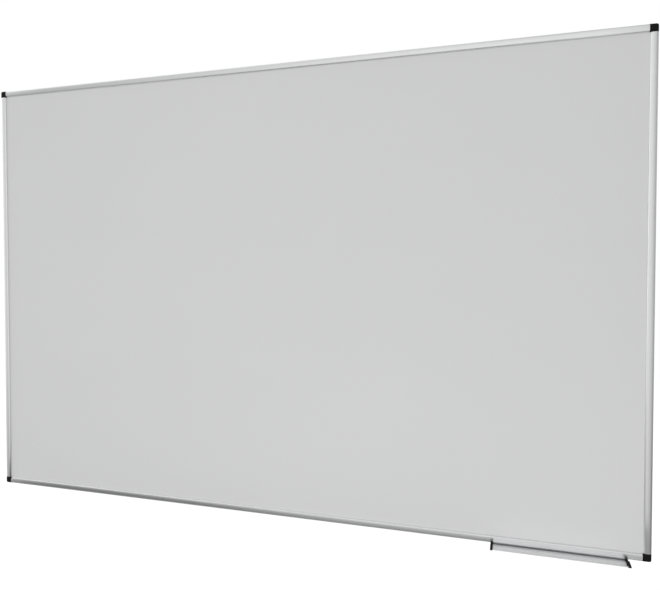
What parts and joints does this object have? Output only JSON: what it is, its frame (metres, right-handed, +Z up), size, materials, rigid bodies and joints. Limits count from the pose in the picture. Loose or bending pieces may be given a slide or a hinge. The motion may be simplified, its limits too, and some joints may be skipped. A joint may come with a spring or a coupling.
{
  "type": "magnetic whiteboard",
  "caption": "Wall-hung magnetic whiteboard: enamelled steel panel in a slim aluminium frame, with pull-off corner covers over the wall fixings and a pen tray that slides under the bottom rail.",
  "frame": {"origin": "on the wall plane, at the middle of the top rail's back face", "axes": "+X to the viewer's right, +Y into the wall, +Z up; the writing surface faces -Y"},
  "size_m": [1.8, 0.0592, 1.2051],
  "materials": {
    "enamel": "smooth semi-gloss vitreous enamel on steel",
    "core": "raw fibre board edge",
    "galvanised": "dull galvanised sheet",
    "anodised": "satin silver anodised extrusion",
    "bracket_plastic": "matt moulded plastic",
    "cover_plastic": "fine-grained black moulded plastic",
    "zinc": "bright zinc plate"
  },
  "bodies": {
    "board": {"writing_sheet": "enamel", "core_board": "core", "back_sheet": "galvanised", "top_rail": "anodised", "bottom_rail": "anodised", "left_rail": "anodised", "right_rail": "anodised", "corner_bracket_top_left": "bracket_plastic", "corner_bracket_top_right": "bracket_plastic", "corner_bracket_bottom_left": "bracket_plastic", "corner_bracket_bottom_right": "bracket_plastic", "rail_screw_top_left_level": "zinc", "rail_screw_top_left_upright": "zinc", "rail_screw_top_right_level": "zinc", "rail_screw_top_right_upright": "zinc", "rail_screw_bottom_left_level": "zinc", "rail_screw_bottom_left_upright": "zinc", "rail_screw_bottom_right_level": "zinc", "rail_screw_bottom_right_upright": "zinc"},
    "tray": {"pen_tray": "anodised", "tray_end_cap_left": "cover_plastic", "tray_end_cap_right": "cover_plastic"},
    "cover_top_left": {"corner_cover_top_left": "cover_plastic"},
    "cover_top_right": {"corner_cover_top_right": "cover_plastic"},
    "cover_bottom_left": {"corner_cover_bottom_left": "cover_plastic"},
    "cover_bottom_right": {"corner_cover_bottom_right": "cover_plastic"}
  },
  "joints": [
    {"name": "tray_slide", "type": "slide", "parent": "board", "child": "tray", "axis": [1, 0, 0], "range_m": [-1.431, 0.029]},
    {"name": "cover_top_left_pull", "type": "slide", "parent": "board", "child": "cover_top_left", "axis": [0, -1, 0], "range_m": [0, 0.025]},
    {"name": "cover_top_right_pull", "type": "slide", "parent": "board", "child": "cover_top_right", "axis": [0, -1, 0], "range_m": [0, 0.025]},
    {"name": "cover_bottom_left_pull", "type": "slide", "parent": "board", "child": "cover_bottom_left", "axis": [0, -1, 0], "range_m": [0, 0.025]},
    {"name": "cover_bottom_right_pull", "type": "slide", "parent": "board", "child": "cover_bottom_right", "axis": [0, -1, 0], "range_m": [0, 0.025]}
  ]
}
